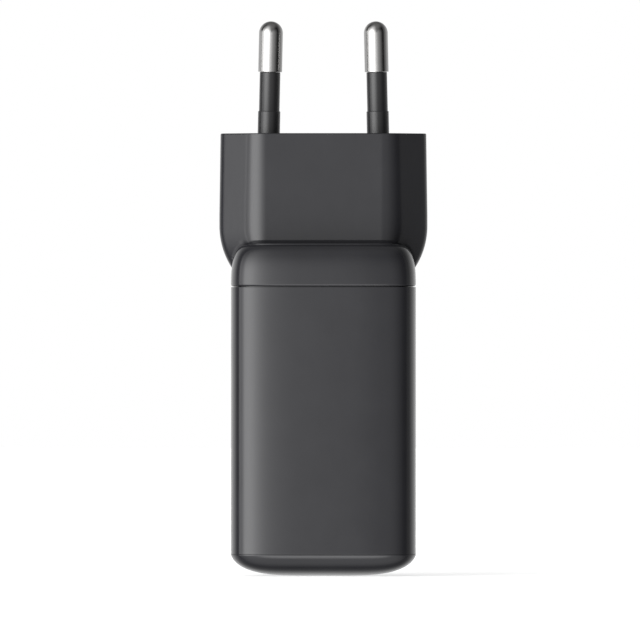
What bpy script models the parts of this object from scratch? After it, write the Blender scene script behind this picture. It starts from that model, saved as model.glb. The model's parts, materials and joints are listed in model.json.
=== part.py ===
"""A slim USB wall charger with a fixed Europlug, as separate pieces.

Origin: centre of the flat port end. +Z runs along the plug pins, +X to the right, -Y to the front.
Units: metres. MM turns millimetres into metres.
"""

from math import atan2, cos, pi, radians, sin, sqrt, tan

import bmesh
import bpy

MM = 0.001

# ---------------------------------------------------------------- driving dimensions

GAP = 0.3 * MM  # clearance between neighbouring pieces

BODY_WIDTH = 31.4 * MM
BODY_DEPTH = 28.4 * MM
BODY_SQUARENESS = 6.5  # exponent of the body's superellipse section
WALL = 1.8 * MM
FACE_WALL = 2.0 * MM  # behind the plug's engagement face
SKIRT_WALL = 1.2 * MM  # locating skirts of the two ends, inside the housing
SKIRT_DEPTH = 2.6 * MM
OVERLAP = 1.0 * MM  # how far shapes that are joined or cut run into each other

PANEL_HEIGHT = 3.4 * MM  # from the port end to the lower seam
PANEL_ARC = 8.9 * MM  # radius that rounds the port end
CAP_SEAM = 49.25 * MM
CAP_TOP = 56.4 * MM
CAP_CORNER = 3.2 * MM  # how far the cap's top edge draws in
CAP_SQUARENESS = 2.5
PLUG_FACE = 75.2 * MM

HEAD_WIDTH = 35.0 * MM  # Europlug head at its engagement face
HEAD_DRAFT = 0.2 * MM  # how much wider each side gets towards the shoulders
HEAD_DEPTH = 13.7 * MM
HEAD_FLAT = 9.87 * MM  # half the width of the flat front
HEAD_END_FLAT = 1.09 * MM  # where the 45 degree side meets the end, from the centre plane
HEAD_END_RADIUS = 1.3 * MM
HEAD_LEAST_CORNER = 0.8 * MM  # the least run of the front corner's rounding along the flat
HEAD_EDGE = 0.3 * MM  # rounding of the engagement face's edge
HEAD_DRAFT_HEIGHT = 14.0 * MM
SHOULDER_DROP = 15.75 * MM  # from the engagement face to where the shoulders start
SHOULDER_RADIUS = 13.0 * MM

PIN_SPACING = 18.6 * MM  # between the pins' axes at the engagement face
PIN_TIP_SPACING = 17.75 * MM
PIN_LENGTH = 19.1 * MM
PIN_RADIUS = 2.0 * MM
PIN_METAL_LENGTH = 8.5 * MM
PIN_SHANK_RADIUS = 1.0 * MM
SLEEVE_RADIUS = 1.63 * MM
COLLAR_RADIUS = 1.85 * MM
COLLAR_HEIGHT = 3.8 * MM
SLEEVE_BACK = 7.0 * MM  # how far the sleeve runs in behind the engagement face
PIN_BACK = 10.2 * MM  # and how far the pin does
CARRIER_HEIGHT = 6.0 * MM
STRIP_PLACE = 7.9 * MM  # each contact strip's tail, from the centre

PORT_SPREAD = 3.4 * MM  # each outlet's distance from the centre plane
PORT_WIDTH = 8.94 * MM
PORT_HEIGHT = 3.26 * MM
PORT_SHELL_WALL = 0.35 * MM
PORT_RECESS = 0.4 * MM
TONGUE_WIDTH = 6.69 * MM
TONGUE_THICKNESS = 0.7 * MM

PORT_BOARD_BOTTOM = 10.3 * MM
PORT_BOARD_THICKNESS = 1.0 * MM
MAIN_BOARD_FRONT = 7.4 * MM  # the component side of the main board
MAIN_BOARD_THICKNESS = 1.0 * MM
MAIN_BOARD_LOW = 8.0 * MM
MAIN_BOARD_HIGH = 46.0 * MM
SPREADER_INNER = 11.05 * MM
SPREADER_THICKNESS = 0.5 * MM

SECTION_POINTS = 48  # around the body
ROUND_STEPS = 24  # around turned pieces


# ---------------------------------------------------------------- scene and materials

def clear_scene():
    for old in list(bpy.data.objects):
        bpy.data.objects.remove(old, do_unlink=True)


def new_collection(name):
    collection = bpy.data.collections.new(name)
    bpy.context.scene.collection.children.link(collection)
    return collection


def principled(name, colour, roughness, metallic=0.0):
    material = bpy.data.materials.new(name)
    material.use_nodes = True
    shader = material.node_tree.nodes["Principled BSDF"]
    shader.inputs["Base Color"].default_value = (*colour, 1.0)
    shader.inputs["Roughness"].default_value = roughness
    shader.inputs["Metallic"].default_value = metallic
    return material


def housing_plastic(name):
    return principled(name, (0.060, 0.060, 0.063), 0.42)


def pin_nickel(name):
    return principled(name, (0.76, 0.75, 0.72), 0.16, 1.0)


def pin_insulation(name):
    return principled(name, (0.035, 0.035, 0.037), 0.45)


def carrier_plastic(name):
    return principled(name, (0.72, 0.71, 0.66), 0.6)


def contact_brass(name):
    return principled(name, (0.78, 0.60, 0.28), 0.3, 1.0)


def winding_copper(name):
    return principled(name, (0.80, 0.38, 0.18), 0.35, 1.0)


def spreader_aluminium(name):
    return principled(name, (0.74, 0.75, 0.76), 0.35, 1.0)


def port_steel(name):
    return principled(name, (0.62, 0.62, 0.61), 0.28, 1.0)


def port_insulator(name):
    return principled(name, (0.02, 0.02, 0.02), 0.5)


def board_laminate(name):
    return principled(name, (0.02, 0.16, 0.06), 0.45)


def chip_epoxy(name):
    return principled(name, (0.025, 0.025, 0.028), 0.6)


def ferrite(name):
    return principled(name, (0.07, 0.068, 0.07), 0.55)


def capacitor_film(name):
    return principled(name, (0.86, 0.68, 0.08), 0.4)


def disc_ceramic(name):
    return principled(name, (0.05, 0.22, 0.55), 0.4)


def thermistor_coating(name):
    return principled(name, (0.06, 0.26, 0.12), 0.45)


def capacitor_can(name):
    return principled(name, (0.10, 0.09, 0.16), 0.3)


def polymer_can(name):
    return principled(name, (0.70, 0.71, 0.73), 0.3, 1.0)


def transformer_tape(name):
    return principled(name, (0.88, 0.70, 0.12), 0.35)


def thermal_silicone(name):
    return principled(name, (0.42, 0.44, 0.47), 0.8)


def insulating_paper(name):
    return principled(name, (0.45, 0.50, 0.46), 0.75)


def wire_brown(name):
    return principled(name, (0.22, 0.09, 0.03), 0.5)


def wire_blue(name):
    return principled(name, (0.03, 0.12, 0.50), 0.5)


# ---------------------------------------------------------------- building blocks

def finish(piece, collection, make_material=None, smooth_angle=35.0):
    """Puts a new object in its collection, with a material of its own."""
    for holder in list(piece.users_collection):
        holder.objects.unlink(piece)
    collection.objects.link(piece)
    if make_material:
        piece.data.materials.clear()
        piece.data.materials.append(make_material(piece.name))
    if piece.type == "MESH":
        piece.data.shade_smooth()
        piece.data.set_sharp_from_angle(angle=radians(smooth_angle))
    return piece


def mesh_object(name, mesh_builder):
    """An object whose mesh a bmesh has built."""
    mesh = bpy.data.meshes.new(name)
    bmesh.ops.recalc_face_normals(mesh_builder, faces=mesh_builder.faces)
    mesh_builder.to_mesh(mesh)
    mesh_builder.free()
    return bpy.data.objects.new(name, mesh)


def box(name, size, centre, bevel=0.0):
    builder = bmesh.new()
    bmesh.ops.create_cube(builder, size=1.0)
    bmesh.ops.scale(builder, vec=size, verts=builder.verts)
    piece = mesh_object(name, builder)
    piece.location = centre
    if bevel:
        edge = piece.modifiers.new("soft_edges", "BEVEL")
        edge.width = bevel
        edge.segments = 2
    return piece


def turned(name, profile, closed=False, steps=ROUND_STEPS):
    """Turns (radius, height) points about Z. The profile runs down its outer side; closed makes a ring."""
    builder = bmesh.new()
    corners = [builder.verts.new((radius, 0.0, height)) for radius, height in profile]
    for first, second in zip(corners, corners[1:]):
        builder.edges.new((first, second))
    if closed:
        builder.edges.new((corners[-1], corners[0]))
    mesh = bpy.data.meshes.new(name)
    builder.to_mesh(mesh)
    builder.free()
    piece = bpy.data.objects.new(name, mesh)
    screw = piece.modifiers.new("turn", "SCREW")
    screw.axis = "Z"
    screw.steps = steps
    screw.render_steps = steps
    screw.use_merge_vertices = True
    screw.merge_threshold = 0.00001
    return piece


def cylinder(name, radius, length, centre, edge=0.2 * MM, axis="Z", steps=ROUND_STEPS):
    """A turned solid cylinder with chamfered ends, along X, Y or Z."""
    half = length / 2
    profile = [
        (0.0, half),
        (radius - edge, half),
        (radius, half - edge),
        (radius, edge - half),
        (radius - edge, -half),
        (0.0, -half),
    ]
    piece = turned(name, profile, steps=steps)
    piece.location = centre
    piece.rotation_euler = {"X": (0, pi / 2, 0), "Y": (pi / 2, 0, 0), "Z": (0, 0, 0)}[axis]
    return piece


def loft(name, rings, closed=False):
    """Skins rings that have the same number of points; closed joins the last ring to the first."""
    builder = bmesh.new()
    rows = [[builder.verts.new(point) for point in ring] for ring in rings]
    pairs = list(zip(rows, rows[1:]))
    if closed:
        pairs.append((rows[-1], rows[0]))
    for low, high in pairs:
        for i in range(len(low)):
            j = (i + 1) % len(low)
            builder.faces.new((low[i], low[j], high[j], high[i]))
    if not closed:
        builder.faces.new(list(reversed(rows[0])))
        builder.faces.new(rows[-1])
    return mesh_object(name, builder)


def outline(name, loops, low, high):
    """A flat outline, with any holes, given thickness from low to high along its own Z."""
    curve = bpy.data.curves.new(name, "CURVE")
    curve.dimensions = "2D"
    curve.fill_mode = "BOTH"
    curve.extrude = (high - low) / 2
    for loop in loops:
        spline = curve.splines.new("POLY")
        spline.points.add(len(loop) - 1)
        for point, (x, y) in zip(spline.points, loop):
            point.co = (x, y, 0.0, 1.0)
        spline.use_cyclic_u = True
    piece = bpy.data.objects.new(name, curve)
    piece.location.z = (low + high) / 2
    return piece


def wire(name, points, radius, smooth=False, resolution=2):
    """A round wire through its points."""
    curve = bpy.data.curves.new(name, "CURVE")
    curve.dimensions = "3D"
    curve.bevel_depth = radius
    curve.bevel_resolution = resolution
    curve.use_fill_caps = True
    spline = curve.splines.new("BEZIER" if smooth else "POLY")
    if smooth:
        curve.resolution_u = 5
        spline.bezier_points.add(len(points) - 1)
        for knot, place in zip(spline.bezier_points, points):
            knot.co = place
            knot.handle_left_type = "AUTO"
            knot.handle_right_type = "AUTO"
    else:
        spline.points.add(len(points) - 1)
        for knot, place in zip(spline.points, points):
            knot.co = (*place, 1.0)
    return bpy.data.objects.new(name, curve)


def combine(piece, cutter, operation, cutters):
    """Adds or removes the cutter's shape, and hides the cutter."""
    finish(cutter, cutters)
    cutter.hide_render = True
    cutter.display_type = "WIRE"
    step = piece.modifiers.new(operation.lower(), "BOOLEAN")
    step.operation = operation
    step.object = cutter


# ---------------------------------------------------------------- sections

def superellipse(half_x, half_y, squareness=BODY_SQUARENESS, count=SECTION_POINTS):
    """Points of |x/a|^n + |y/b|^n = 1, counter-clockwise."""
    points = []
    for i in range(count):
        angle = 2 * pi * i / count
        c, s = cos(angle), sin(angle)
        x = half_x * abs(c) ** (2 / squareness) * (1 if c > 0 else -1)
        y = half_y * abs(s) ** (2 / squareness) * (1 if s > 0 else -1)
        points.append((x, y))
    return points


def body_section(inset=0.0):
    return superellipse(BODY_WIDTH / 2 - inset, BODY_DEPTH / 2 - inset)


def body_ring(inset, height):
    return [(x, y, height) for x, y in body_section(inset)]


def frame_ring(half_x, half_y, corner, height, segments=3):
    """A rounded rectangle at a height."""
    points = []
    for quarter in range(4):
        side_x = 1 if quarter in (0, 3) else -1
        side_y = 1 if quarter < 2 else -1
        for step in range(segments + 1):
            angle = (quarter + step / segments) * pi / 2
            x = side_x * (half_x - corner) + corner * cos(angle)
            y = side_y * (half_y - corner) + corner * sin(angle)
            points.append((x, y, height))
    return points


def stadium(half_length, half_height, segments=8):
    """A slot outline with round ends, long side along X."""
    reach = half_length - half_height
    points = []
    for side, start in ((1, -pi / 2), (-1, pi / 2)):
        for step in range(segments + 1):
            angle = start + pi * step / segments
            points.append((side * reach + half_height * cos(angle), half_height * sin(angle)))
    return points


def cap_inset(height):
    """How far the cap's side has drawn in at a height above the seam, as a superellipse."""
    rise = min(height / (CAP_TOP - CAP_SEAM), 1.0)
    return CAP_CORNER * (1 - (1 - rise**CAP_SQUARENESS) ** (1 / CAP_SQUARENESS))


def panel_inset(height):
    """How far the port end's side has drawn in at a height: an arc that ends tangent to the flat."""
    at_seam = sqrt(PANEL_ARC**2 - (PANEL_ARC - PANEL_HEIGHT) ** 2)
    return at_seam - sqrt(PANEL_ARC**2 - (PANEL_ARC - height) ** 2)


def head_half_width(height):
    """Half the plug head's width: slightly drafted, then two round shoulders."""
    below_face = PLUG_FACE - height
    widest = HEAD_WIDTH / 2 + HEAD_DRAFT
    if below_face <= SHOULDER_DROP:
        return widest - HEAD_DRAFT * max(1 - below_face / HEAD_DRAFT_HEIGHT, 0.0)
    drop = below_face - SHOULDER_DROP
    return widest - SHOULDER_RADIUS + sqrt(SHOULDER_RADIUS**2 - drop**2)


def head_ring(height, inset=0.0):
    """The head's six-sided Europlug section at a height: flat faces, 45 degree sides, narrow end flats."""
    half_turn = tan(pi / 8)
    half_depth = HEAD_DEPTH / 2 - inset
    end_x = head_half_width(height) - inset
    end_y = HEAD_END_FLAT - inset * (sqrt(2) - 1)
    corner_x = end_x + end_y - half_depth
    flat_x = min(HEAD_FLAT, corner_x + inset * half_turn - HEAD_LEAST_CORNER)
    big = (corner_x - flat_x) / half_turn
    small = max(HEAD_END_RADIUS - inset, 0.1 * MM)
    quarter = []
    for step in range(4):
        angle = step / 3 * pi / 4
        x = end_x - small + small * cos(angle)
        y = end_y - small * half_turn + small * sin(angle)
        quarter.append((x, y))
    for step in range(7):
        angle = pi / 4 + step / 6 * pi / 4
        quarter.append((flat_x + big * cos(angle), half_depth - big + big * sin(angle)))
    left_top = [(-x, y) for x, y in reversed(quarter)]
    left_low = [(-x, -y) for x, y in quarter]
    right_low = [(x, -y) for x, y in reversed(quarter)]
    return [(x, y, height) for x, y in quarter + left_top + left_low + right_low]


# ---------------------------------------------------------------- the three mouldings

def skirt(name, low, high):
    """A locating ring that fits inside the housing with clearance."""
    outer = WALL + GAP
    inner = outer + SKIRT_WALL
    rings = [body_ring(outer, low), body_ring(outer, high), body_ring(inner, high), body_ring(inner, low)]
    return loft(name, rings, closed=True)


def make_housing_sleeve(parts):
    low = PANEL_HEIGHT + GAP / 2
    high = CAP_SEAM - GAP / 2
    piece = outline("housing_sleeve", [body_section(), body_section(WALL)], low, high)
    finish(piece, parts, housing_plastic)


def make_port_panel(parts, cutters):
    """The rounded port end, hollow behind, with two outlet openings."""
    top = PANEL_HEIGHT - GAP / 2
    steps = 8
    crowding = 1.6  # packs the rings towards the flat, where the arc turns fastest
    heights = [top * (step / steps) ** crowding for step in range(steps + 1)]
    piece = loft("port_panel", [body_ring(panel_inset(height), height) for height in heights])
    finish(piece, parts, housing_plastic)
    skirt_top = top + SKIRT_DEPTH
    combine(piece, skirt("panel_skirt", top - OVERLAP, skirt_top), "UNION", cutters)
    inner = WALL + GAP + SKIRT_WALL
    floor_inset = 6.2 * MM
    pocket = [body_ring(floor_inset, WALL), body_ring(inner, top), body_ring(inner, skirt_top + OVERLAP)]
    combine(piece, loft("panel_pocket", pocket), "DIFFERENCE", cutters)
    for side, place in ((-1, "front"), (1, "rear")):
        opening = stadium(PORT_WIDTH / 2 + GAP, PORT_HEIGHT / 2 + GAP)
        centre_y = side * PORT_SPREAD
        rings = [[(x, y + centre_y, z) for x, y in opening] for z in (-OVERLAP, WALL + OVERLAP)]
        combine(piece, loft(f"opening_{place}", rings), "DIFFERENCE", cutters)


def head_heights(low, high):
    """Heights for the head's rings: close together round the shoulders."""
    shoulder = PLUG_FACE - SHOULDER_DROP
    steps = 7
    curved = [low + (shoulder - low) * step / steps for step in range(steps)]
    return curved + [shoulder, PLUG_FACE - HEAD_DRAFT_HEIGHT, high]


def make_plug_cap(parts, cutters):
    """The end cap and the Europlug head: one hollow moulding, open towards the housing."""
    low = CAP_SEAM + GAP / 2
    rings = [body_ring(0.0, low)]
    steps = 9
    for step in range(1, steps + 1):
        height = (CAP_TOP - CAP_SEAM) * sin(step / steps * pi / 2) ** (2 / CAP_SQUARENESS)
        rings.append(body_ring(cap_inset(height), CAP_SEAM + height))
    piece = loft("plug_cap", rings)
    finish(piece, parts, housing_plastic)

    head_low = CAP_SEAM + 1.5 * MM  # inside the cap, below where the shoulders sink into its sides
    head = [head_ring(height) for height in head_heights(head_low, PLUG_FACE - HEAD_EDGE)]
    head += [
        head_ring(PLUG_FACE - HEAD_EDGE * (1 - sin(angle)), HEAD_EDGE * (1 - cos(angle)))
        for angle in (pi / 4, pi / 2)
    ]
    combine(piece, loft("head", head), "UNION", cutters)
    combine(piece, skirt("cap_skirt", low - SKIRT_DEPTH, low + OVERLAP), "UNION", cutters)

    inner = WALL + GAP + SKIRT_WALL
    cavity = [body_ring(inner, low - SKIRT_DEPTH - OVERLAP), body_ring(inner, low)]
    ceiling = CAP_TOP - CAP_SEAM - WALL
    for share in (0.4, 0.7, 0.88, 1.0):
        height = ceiling * share
        cavity.append(body_ring(inner + cap_inset(height), CAP_SEAM + height))
    combine(piece, loft("cap_cavity", cavity), "DIFFERENCE", cutters)
    hollow = [head_ring(height, WALL) for height in head_heights(head_low + WALL, PLUG_FACE - FACE_WALL)]
    combine(piece, loft("head_cavity", hollow), "DIFFERENCE", cutters)
    for side, place in ((-1, "left"), (1, "right")):
        hole = pin_bore(f"pin_hole_{place}", COLLAR_RADIUS, side, -FACE_WALL - OVERLAP, OVERLAP)
        combine(piece, hole, "DIFFERENCE", cutters)


# ---------------------------------------------------------------- the plug's contacts

def on_pin_axis(piece, side, along=0.0):
    """Places a piece on a pin's axis, which leans in towards the other pin at its tip."""
    lean = atan2((PIN_SPACING - PIN_TIP_SPACING) / 2, PIN_LENGTH)
    piece.rotation_euler = (0.0, -side * lean, 0.0)
    piece.location = (side * (PIN_SPACING / 2 - along * sin(lean)), 0.0, PLUG_FACE + along * cos(lean))


def pin_bore(name, radius, side, low, high):
    """A cutter that clears a radius on a pin's axis, between two distances from the engagement face."""
    cutter = cylinder(name, radius + GAP, high - low, (0, 0, 0), edge=0.0)
    on_pin_axis(cutter, side, along=(low + high) / 2)
    return cutter


def make_pin(parts, side, place):
    """A turned pin: round tip, bare contact length, thin shank inside the sleeve, riveted back end."""
    shoulder = PIN_LENGTH - PIN_METAL_LENGTH
    dome = []
    steps = 6
    for step in range(steps + 1):
        angle = step / steps * pi / 2
        dome.append((PIN_RADIUS * sin(angle), PIN_LENGTH - PIN_RADIUS * (1 - cos(angle))))
    chamfer = 0.15 * MM
    back = -PIN_BACK
    flange = 1.0 * MM
    flange_radius = 1.7 * MM
    profile = dome + [
        (PIN_RADIUS, shoulder + chamfer),
        (PIN_RADIUS - chamfer, shoulder),
        (PIN_SHANK_RADIUS, shoulder),
        (PIN_SHANK_RADIUS, back + flange),
        (flange_radius, back + flange),
        (flange_radius, back),
        (0.0, back),
    ]
    piece = turned(f"pin_{place}", profile)
    on_pin_axis(piece, side)
    finish(piece, parts, pin_nickel)


def make_pin_sleeve(parts, side, place):
    """The insulating sleeve, with a thicker collar that runs down into the plug head."""
    top = PIN_LENGTH - PIN_METAL_LENGTH - GAP
    bore = PIN_SHANK_RADIUS + GAP
    bottom = -SLEEVE_BACK
    step = 0.25 * MM
    profile = [
        (bore, top),
        (SLEEVE_RADIUS, top),
        (SLEEVE_RADIUS, COLLAR_HEIGHT + step),
        (COLLAR_RADIUS, COLLAR_HEIGHT),
        (COLLAR_RADIUS, bottom),
        (bore, bottom),
    ]
    piece = turned(f"pin_sleeve_{place}", profile, closed=True)
    on_pin_axis(piece, side)
    finish(piece, parts, pin_insulation)


def make_pin_carrier(parts, cutters):
    """The insulating block behind the engagement face, bored for both pins."""
    top = PLUG_FACE - FACE_WALL - GAP
    bottom = top - CARRIER_HEIGHT
    piece = loft("pin_carrier", [head_ring(height, WALL + GAP) for height in (bottom, top)])
    finish(piece, parts, carrier_plastic)
    for side, place in ((-1, "left"), (1, "right")):
        wide = pin_bore(f"collar_bore_{place}", COLLAR_RADIUS, side, -SLEEVE_BACK - GAP, 0.0)
        combine(piece, wide, "DIFFERENCE", cutters)
        narrow = pin_bore(f"shank_bore_{place}", PIN_SHANK_RADIUS, side, -PIN_BACK, 0.0)
        combine(piece, narrow, "DIFFERENCE", cutters)


def make_contact_strip(parts, side, place):
    """An angled brass strip: a tab under the pin's riveted end, and a tail that takes the wire."""
    thickness = 0.6 * MM
    tab, tail = 3.0 * MM, 6.5 * MM
    corners = [
        (0, 0),
        (tab, 0),
        (tab, -thickness),
        (thickness, -thickness),
        (thickness, -tail),
        (0, -tail),
    ]
    width = 3.2 * MM
    piece = outline(f"contact_strip_{place}", [[(x, y) for x, y in reversed(corners)]], -width / 2, width / 2)
    piece.rotation_euler = (pi / 2, 0, 0 if side > 0 else pi)
    piece.location = (side * STRIP_PLACE, 0, PLUG_FACE - PIN_BACK - GAP)
    finish(piece, parts, contact_brass)


def make_lead_wire(parts, side, place, make_material):
    """An insulated wire from a contact strip's tail down to the top of the main board."""
    beside_tail = STRIP_PLACE + 1.7 * MM
    route = [
        (side * beside_tail, 0, 59.5 * MM),
        (side * beside_tail, 0, 57.0 * MM),
        (side * 8.8 * MM, 3.4 * MM, 51.5 * MM),
        (side * 8.4 * MM, 5.6 * MM, MAIN_BOARD_HIGH + 1.5 * MM),
    ]
    piece = wire(f"lead_wire_{place}", route, 0.8 * MM, smooth=True, resolution=1)
    finish(piece, parts, make_material)


# ---------------------------------------------------------------- outlets

def make_port(parts, cutters, side, place):
    """One USB-C receptacle: an oval steel shell round an insulator with a contact tongue."""
    centre_y = side * PORT_SPREAD
    top = PORT_BOARD_BOTTOM - GAP
    shell_loops = [
        stadium(PORT_WIDTH / 2, PORT_HEIGHT / 2),
        stadium(PORT_WIDTH / 2 - PORT_SHELL_WALL, PORT_HEIGHT / 2 - PORT_SHELL_WALL),
    ]
    shell = outline(f"port_shell_{place}", shell_loops, PORT_RECESS, top)
    shell.location.y = centre_y
    finish(shell, parts, port_steel)

    core_inset = PORT_SHELL_WALL + GAP
    base_low = 6.4 * MM
    core = stadium(PORT_WIDTH / 2 - core_inset, PORT_HEIGHT / 2 - core_inset)
    insulator = loft(
        f"port_tongue_{place}",
        [[(x, y + centre_y, z) for x, y in core] for z in (base_low, top)],
    )
    finish(insulator, parts, port_insulator)
    tip = PORT_RECESS + 0.9 * MM
    length = base_low + MM - tip
    tongue = box(
        f"tongue_{place}",
        (TONGUE_WIDTH, TONGUE_THICKNESS, length),
        (0, centre_y, tip + length / 2),
    )
    combine(insulator, tongue, "UNION", cutters)


def make_port_board(parts):
    depth_low, depth_high = -10.0 * MM, MAIN_BOARD_FRONT - GAP
    size = (21.6 * MM, depth_high - depth_low, PORT_BOARD_THICKNESS)
    centre = (0, (depth_low + depth_high) / 2, PORT_BOARD_BOTTOM + PORT_BOARD_THICKNESS / 2)
    finish(box("port_board", size, centre), parts, board_laminate)


def make_port_board_parts(parts):
    """What stands on the port board."""
    deck = PORT_BOARD_BOTTOM + PORT_BOARD_THICKNESS + GAP
    for side, place in ((-1, "left"), (1, "right")):
        radius, height = 3.15 * MM, 5.0 * MM
        can = cylinder(
            f"output_capacitor_{place}",
            radius,
            height,
            (-4.0 * MM + side * 3.6 * MM, -5.6 * MM, deck + height / 2),
            edge=0.5 * MM,
        )
        finish(can, parts, polymer_can)
    choke = (6.8 * MM, 6.8 * MM, 3.0 * MM)
    place = (7.1 * MM, -5.6 * MM, deck + choke[2] / 2)
    finish(box("output_choke", choke, place, bevel=0.5 * MM), parts, ferrite)
    rectifier = (5.0 * MM, 3.6 * MM, 0.9 * MM)
    place = (-6.2 * MM, 1.2 * MM, deck + rectifier[2] / 2)
    finish(box("rectifier_chip", rectifier, place), parts, chip_epoxy)
    controller = (4.0 * MM, 4.0 * MM, 0.8 * MM)
    place = (2.2 * MM, 1.0 * MM, deck + controller[2] / 2)
    finish(box("port_controller", controller, place), parts, chip_epoxy)
    header = (10.0 * MM, 2.2 * MM, 2.2 * MM)
    place = (-1.0 * MM, 5.6 * MM, deck + header[2] / 2)
    finish(box("board_header", header, place, bevel=0.2 * MM), parts, port_insulator)


# ---------------------------------------------------------------- mains side

def make_main_board(parts):
    size = (23.6 * MM, MAIN_BOARD_THICKNESS, MAIN_BOARD_HIGH - MAIN_BOARD_LOW)
    centre = (0, MAIN_BOARD_FRONT + MAIN_BOARD_THICKNESS / 2, (MAIN_BOARD_LOW + MAIN_BOARD_HIGH) / 2)
    finish(box("main_board", size, centre), parts, board_laminate)


def make_input_parts(parts):
    """Fuse, varistor, thermistor, film capacitor and bridge, at the plug end of the board."""
    fuse = cylinder(
        "input_fuse", 1.6 * MM, 9.0 * MM, (-6.4 * MM, 5.2 * MM, 43.9 * MM), edge=0.3 * MM, axis="X"
    )
    finish(fuse, parts, carrier_plastic)
    varistor = cylinder(
        "varistor", 4.9 * MM, 3.4 * MM, (6.2 * MM, 5.2 * MM, 40.6 * MM), edge=0.9 * MM, axis="Y"
    )
    finish(varistor, parts, disc_ceramic)
    thermistor = cylinder(
        "inrush_thermistor", 3.9 * MM, 3.0 * MM, (6.2 * MM, 1.2 * MM, 40.6 * MM), edge=0.8 * MM, axis="Y"
    )
    finish(thermistor, parts, thermistor_coating)
    film = box(
        "x_capacitor", (10.6 * MM, 5.6 * MM, 7.4 * MM), (-6.0 * MM, 4.1 * MM, 38.1 * MM), bevel=0.4 * MM
    )
    finish(film, parts, capacitor_film)
    bridge = box(
        "bridge_rectifier", (8.4 * MM, 2.6 * MM, 6.6 * MM), (6.2 * MM, -3.2 * MM, 40.2 * MM), bevel=0.3 * MM
    )
    finish(bridge, parts, chip_epoxy)


CHOKE_CENTRE = (-6.0 * MM, -4.2 * MM, 39.4 * MM)
CHOKE_RADIUS = 4.3 * MM  # from the ring's centre to the middle of its section
CHOKE_HALF_WIDTH = 1.2 * MM
CHOKE_HALF_HEIGHT = 1.7 * MM


def make_choke(parts):
    """A ferrite ring, facing forward, with two copper windings on opposite sides."""
    chamfer = 0.4 * MM
    inside, outside = CHOKE_RADIUS - CHOKE_HALF_WIDTH, CHOKE_RADIUS + CHOKE_HALF_WIDTH
    high = CHOKE_HALF_HEIGHT
    profile = [
        (inside + chamfer, high),
        (outside - chamfer, high),
        (outside, high - chamfer),
        (outside, chamfer - high),
        (outside - chamfer, -high),
        (inside + chamfer, -high),
        (inside, chamfer - high),
        (inside, high - chamfer),
    ]
    core = turned("choke_core", profile, closed=True, steps=32)
    core.location = CHOKE_CENTRE
    core.rotation_euler = (pi / 2, 0, 0)
    finish(core, parts, ferrite)
    for middle, place in ((pi, "left"), (0.0, "right")):
        winding = wire(f"choke_winding_{place}", choke_turns(middle), 0.3 * MM, resolution=1)
        winding.location = CHOKE_CENTRE
        winding.rotation_euler = (pi / 2, 0, 0)
        finish(winding, parts, winding_copper)


def choke_turns(middle, turns=5, span=radians(115), per_turn=8):
    """Points of a wire wound round the ring's section, centred on one side of the ring."""
    clear = 0.68 * MM  # from the ferrite to the wire's centre
    points = []
    for step in range(turns * per_turn + 1):
        around = 2 * pi * step / per_turn
        along = middle + span * (step / (turns * per_turn) - 0.5)
        c, s = cos(around), sin(around)
        out = (CHOKE_HALF_WIDTH + clear) * abs(c) ** 0.6 * (1 if c > 0 else -1)
        up = (CHOKE_HALF_HEIGHT + clear) * abs(s) ** 0.6 * (1 if s > 0 else -1)
        radius = CHOKE_RADIUS + out
        points.append((radius * cos(along), radius * sin(along), up))
    return points


def make_bulk_capacitors(parts):
    """Two electrolytic cans standing beside the transformer, with the rolled groove near the foot."""
    radius, length = 4.2 * MM, 16.2 * MM
    edge, groove, groove_depth = 0.5 * MM, 2.2 * MM, 0.35 * MM
    profile = [
        (0.0, length),
        (radius - edge, length),
        (radius, length - edge),
        (radius, groove + 0.6 * MM),
        (radius - groove_depth, groove),
        (radius, groove - 0.6 * MM),
        (radius, edge),
        (radius - edge, 0.0),
        (0.0, 0.0),
    ]
    for centre_y, place in ((-5.95 * MM, "front"), (2.75 * MM, "rear")):
        can = turned(f"bulk_capacitor_{place}", profile)
        can.location = (7.0 * MM, centre_y, 17.6 * MM)
        finish(can, parts, capacitor_can)


def make_board_back_parts(parts):
    """Chips on the back of the main board, and the pad that carries their heat to the plate behind."""
    back = MAIN_BOARD_FRONT + MAIN_BOARD_THICKNESS + 0.2 * MM
    chip_height = 0.9 * MM
    middle = back + chip_height / 2
    chips = {
        "power_switch": (6.0 * MM, 5.0 * MM, -5.0 * MM, 27.0 * MM),
        "control_chip": (3.9 * MM, 4.9 * MM, 4.0 * MM, 28.0 * MM),
        "optocoupler": (4.4 * MM, 3.6 * MM, 4.0 * MM, 18.0 * MM),
    }
    for name, (width, height, x, z) in chips.items():
        chip = box(name, (width, chip_height, height), (x, middle, z))
        finish(chip, parts, chip_epoxy)
    pad_low = back + chip_height + GAP
    pad_high = SPREADER_INNER - GAP
    pad = box(
        "thermal_pad_rear",
        (16.0 * MM, pad_high - pad_low, 18.0 * MM),
        (0, (pad_low + pad_high) / 2, 24.0 * MM),
    )
    finish(pad, parts, thermal_silicone)


def make_y_capacitor(parts):
    disc = cylinder(
        "y_capacitor", 2.5 * MM, 2.4 * MM, (9.0 * MM, 5.2 * MM, 14.3 * MM), edge=0.6 * MM, axis="Y"
    )
    finish(disc, parts, disc_ceramic)


# ---------------------------------------------------------------- transformer

CORE_CENTRE = (-5.2 * MM, 0.5 * MM, 25.1 * MM)
CORE_WIDTH = 13.4 * MM
CORE_HEIGHT = 15.4 * MM
CORE_DEPTH = 9.0 * MM
CORE_YOKE = 2.4 * MM
CORE_SIDE_LEG = 2.1 * MM
CORE_MIDDLE_LEG = 4.4 * MM


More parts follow.
